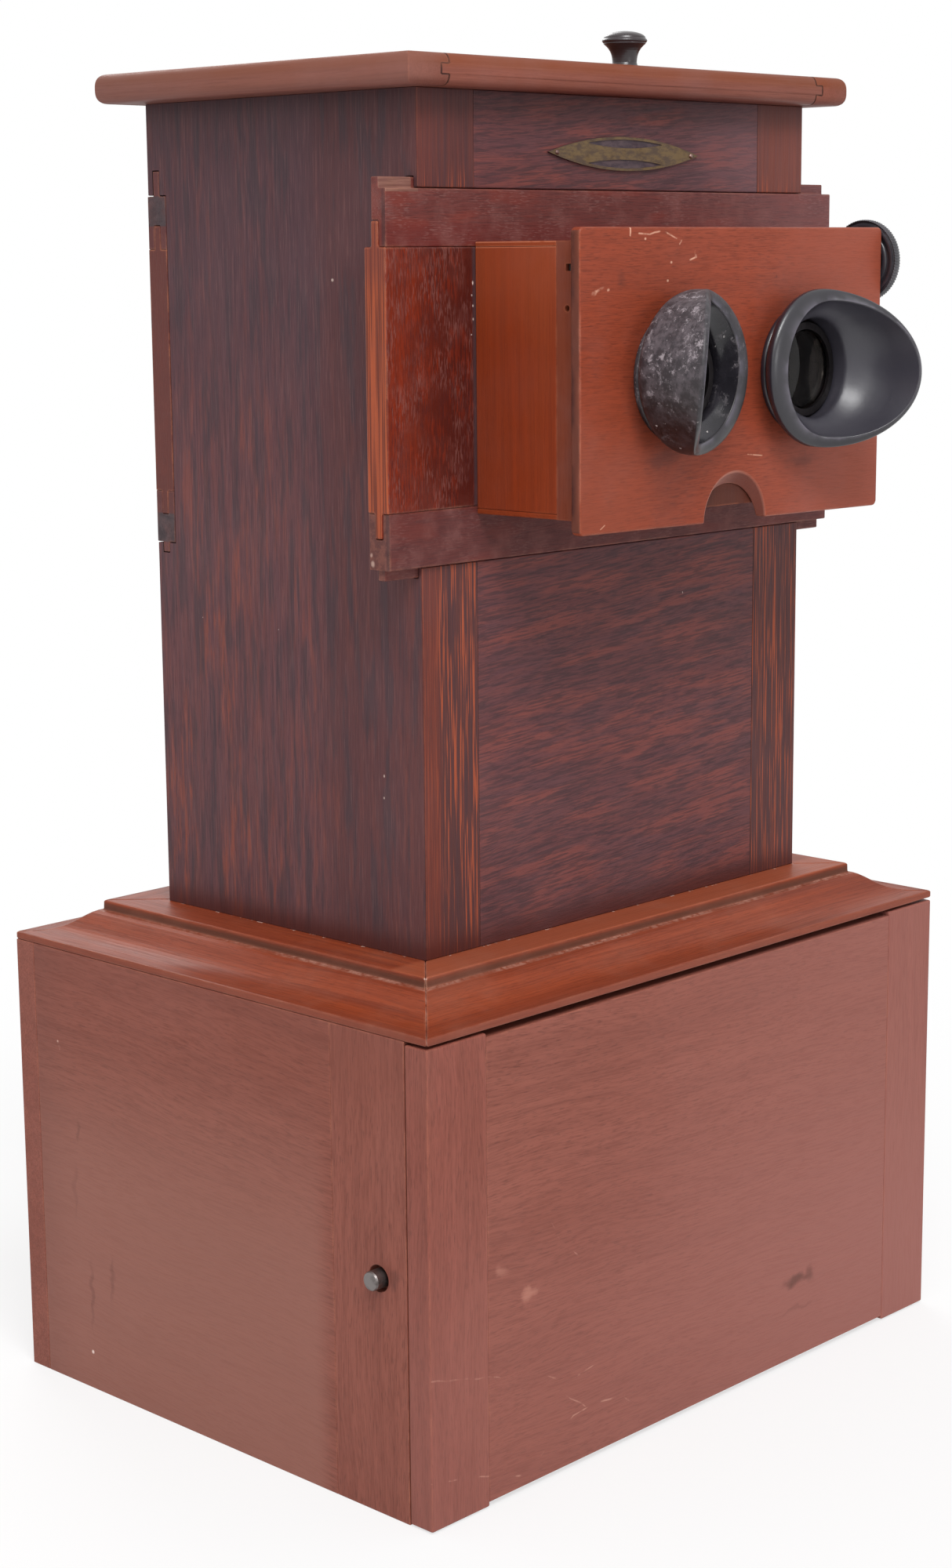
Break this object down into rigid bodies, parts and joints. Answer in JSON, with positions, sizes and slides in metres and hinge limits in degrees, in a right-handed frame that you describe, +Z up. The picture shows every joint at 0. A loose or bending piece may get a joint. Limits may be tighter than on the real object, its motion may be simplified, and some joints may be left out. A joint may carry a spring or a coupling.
{
  "type": "tabletop stereoscope",
  "caption": "Wooden tabletop stereoscope: a tower with a sliding lens panel, focusing lens box and flared eyecups on a base cabinet for slides.",
  "frame": {"origin": "middle of the cabinet's underside, on the table", "axes": "+Z up, -Y towards the viewer who looks into the eyecups, +X to the right as seen from the front"},
  "size_m": [0.2824, 0.254, 0.4794],
  "materials": {
    "mahogany": "worn french polish",
    "dark_mahogany": "dull old polish with bloom",
    "orange_mahogany": "worn polish, orange where rubbed",
    "panel_mahogany": "dull old polish, streaked",
    "blackened_wood": "matt black stain",
    "ebonite": "black hard rubber, polished and dusty",
    "old_brass": "tarnished",
    "steel": "dull",
    "clear_glass": "polished",
    "ground_glass": "ground on one side",
    "slide_glass": "glass plate with a photographic layer"
  },
  "bodies": {
    "cabinet_and_tower": {"cabinet_floor": "mahogany", "cabinet_side_panels": "mahogany", "cabinet_side_stiles": "mahogany", "cabinet_back": "mahogany", "cabinet_top": "mahogany", "cabinet_shelf": "mahogany", "moulding_front": "orange_mahogany", "moulding_sides": "orange_mahogany", "moulding_back": "orange_mahogany", "slide_boxes": "mahogany", "stored_slides": "slide_glass", "door_hinge_fixed_leaves": "old_brass", "tower_left_side": "dark_mahogany", "tower_right_side": "dark_mahogany", "upper_front_board": "dark_mahogany", "upper_front_stiles": "mahogany", "lower_front_board": "dark_mahogany", "lower_front_stiles": "mahogany", "upper_back_board": "dark_mahogany", "lower_back_board": "dark_mahogany", "chamber_floor": "blackened_wood", "tower_septum": "blackened_wood", "carrier_guides": "blackened_wood", "name_plate": "old_brass", "lid_hinge_fixed_leaves": "old_brass"},
    "lid": {"lid_board": "mahogany", "lid_cleats": "mahogany", "lid_knob": "ebonite", "lid_hinge_moving_leaves": "old_brass"},
    "lens_panel": {"lens_panel_top_rail": "panel_mahogany", "lens_panel_bottom_rail": "panel_mahogany", "lens_panel_boards": "panel_mahogany", "lens_box_sides": "orange_mahogany", "lens_box_boards": "orange_mahogany", "lens_box_collar": "orange_mahogany", "lens_box_runners": "orange_mahogany"},
    "focus_head": {"lens_board": "orange_mahogany", "lens_cells": "old_brass", "lenses": "clear_glass", "eyecup_left": "ebonite", "eyecup_right": "ebonite", "focus_tube_sides": "orange_mahogany", "focus_tube_boards": "orange_mahogany", "focus_racks": "old_brass", "tube_septum": "blackened_wood"},
    "knob_and_shaft": {"focus_knob": "ebonite", "focus_shaft": "steel"},
    "rear_panel": {"rear_panel_rails": "panel_mahogany", "rear_panel_stiles": "panel_mahogany", "ground_glass": "ground_glass"},
    "carrier": {"slide_carrier": "blackened_wood", "glass_slide": "slide_glass", "carrier_handle": "ebonite"},
    "door": {"door_panel": "mahogany", "door_stiles": "mahogany", "door_hinge_moving_leaves": "old_brass", "door_catch_tongue": "old_brass"},
    "button_and_catch": {"door_button": "steel", "catch_plate": "old_brass"}
  },
  "joints": [
    {"name": "lid_hinge", "type": "hinge", "parent": "cabinet_and_tower", "child": "lid", "pos_m": [0, 0.0667, 0.4579], "axis": [-1, 0, 0], "range_deg": [0, 100]},
    {"name": "lens_panel_slide", "type": "slide", "parent": "cabinet_and_tower", "child": "lens_panel", "axis": [1, 0, 0], "range_m": [-0.1, 0.1]},
    {"name": "focus_slide", "type": "slide", "parent": "lens_panel", "child": "focus_head", "axis": [0, -1, 0], "range_m": [0, 0.012]},
    {"name": "focus_knob_turn", "type": "hinge", "parent": "lens_panel", "child": "knob_and_shaft", "pos_m": [0, -0.1091, 0.4031], "axis": [-1, 0, 0], "range_deg": [0, 192]},
    {"name": "rear_panel_slide", "type": "slide", "parent": "cabinet_and_tower", "child": "rear_panel", "axis": [1, 0, 0], "range_m": [-0.1, 0.1]},
    {"name": "slide_carrier_lift", "type": "slide", "parent": "cabinet_and_tower", "child": "carrier", "axis": [0, 0, 1], "range_m": [0, 0.05]},
    {"name": "door_hinge", "type": "hinge", "parent": "cabinet_and_tower", "child": "door", "pos_m": [0.1392, -0.09485, 0.0803], "axis": [0, 0, 1], "range_deg": [0, 115]},
    {"name": "door_button_press", "type": "slide", "parent": "cabinet_and_tower", "child": "button_and_catch", "axis": [1, 0, 0], "range_m": [0, 0.0026], "stiffness_N_per_m": 300, "springref_m": -0.001}
  ],
  "couplings": [
    {"joint": "focus_knob_turn", "follows": "focus_slide", "rad_per_m": 277.78}
  ]
}
